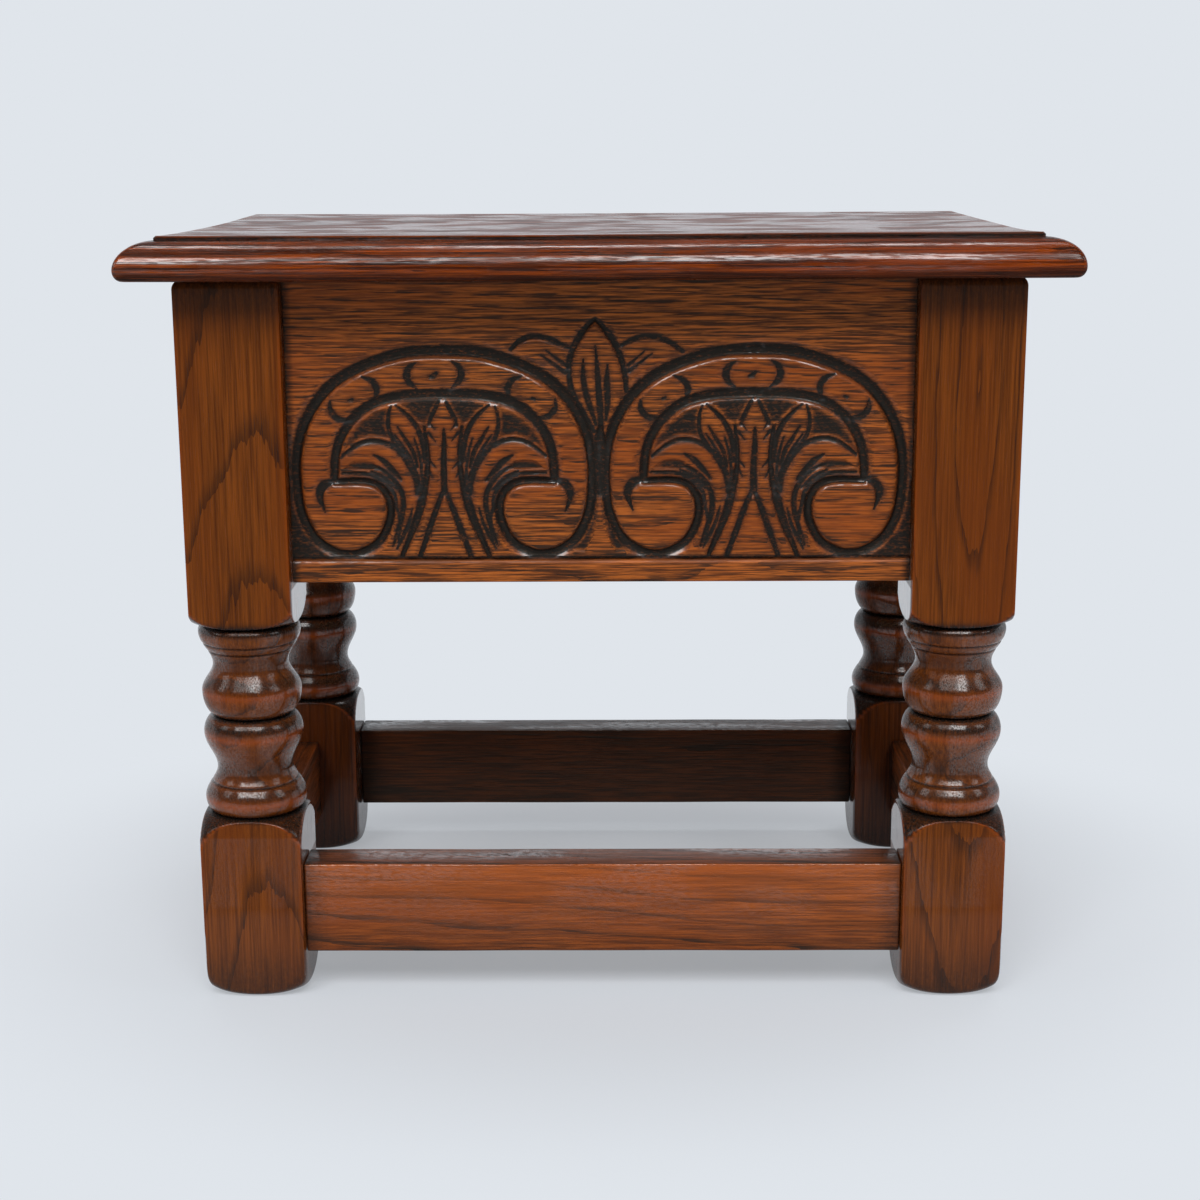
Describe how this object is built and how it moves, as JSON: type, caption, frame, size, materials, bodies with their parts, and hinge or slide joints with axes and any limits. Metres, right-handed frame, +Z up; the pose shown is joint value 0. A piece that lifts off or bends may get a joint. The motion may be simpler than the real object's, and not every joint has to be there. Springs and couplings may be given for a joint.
{
  "type": "slipper box footstool",
  "caption": "Dark oak slipper box footstool: a moulded lid, hinged at the back, over a lunette-carved box on turned legs joined by low stretchers.",
  "frame": {"origin": "on the floor, under the middle of the lid", "axes": "+X to the right along the carved front, +Y from the front to the hinged back, +Z up"},
  "size_m": [0.422, 0.294, 0.361],
  "materials": {
    "lid_oak": "dark red-brown stained oak, glossy varnish",
    "leg_oak": "dark brown stained oak, satin to glossy varnish",
    "panel_oak": "orange-brown stained oak with dark grain, satin varnish",
    "stretcher_oak": "brown stained oak, satin varnish",
    "floor_board": "unfinished pale plywood",
    "bearer_deal": "unfinished softwood",
    "hinge_brass": "dulled brass",
    "screw_steel": "plain steel"
  },
  "bodies": {
    "carcass": {"leg_front_left": "leg_oak", "leg_front_right": "leg_oak", "leg_back_left": "leg_oak", "leg_back_right": "leg_oak", "panel_front": "panel_oak", "panel_back": "panel_oak", "panel_left": "panel_oak", "panel_right": "panel_oak", "stretcher_front": "stretcher_oak", "stretcher_back": "stretcher_oak", "stretcher_left": "stretcher_oak", "stretcher_right": "stretcher_oak", "bottom_board": "floor_board", "bearer_front": "bearer_deal", "bearer_back": "bearer_deal", "bearer_left": "bearer_deal", "bearer_right": "bearer_deal", "bearer_front_screw_1": "screw_steel", "bearer_front_screw_2": "screw_steel", "bearer_back_screw_1": "screw_steel", "bearer_back_screw_2": "screw_steel", "bearer_left_screw_1": "screw_steel", "bearer_left_screw_2": "screw_steel", "bearer_right_screw_1": "screw_steel", "bearer_right_screw_2": "screw_steel", "hinge_left_box_leaf": "hinge_brass", "hinge_left_pin": "hinge_brass", "hinge_left_box_screw_1": "hinge_brass", "hinge_left_box_screw_2": "hinge_brass", "hinge_left_box_screw_3": "hinge_brass", "hinge_right_box_leaf": "hinge_brass", "hinge_right_pin": "hinge_brass", "hinge_right_box_screw_1": "hinge_brass", "hinge_right_box_screw_2": "hinge_brass", "hinge_right_box_screw_3": "hinge_brass"},
    "lid": {"lid": "lid_oak", "hinge_left_lid_leaf": "hinge_brass", "hinge_left_lid_screw_1": "hinge_brass", "hinge_left_lid_screw_2": "hinge_brass", "hinge_left_lid_screw_3": "hinge_brass", "hinge_right_lid_leaf": "hinge_brass", "hinge_right_lid_screw_1": "hinge_brass", "hinge_right_lid_screw_2": "hinge_brass", "hinge_right_lid_screw_3": "hinge_brass"}
  },
  "joints": [
    {"name": "lid_hinge", "type": "hinge", "parent": "carcass", "child": "lid", "pos_m": [0, 0.1293, 0.3382], "axis": [-1, 0, 0], "range_deg": [0, 105]}
  ]
}
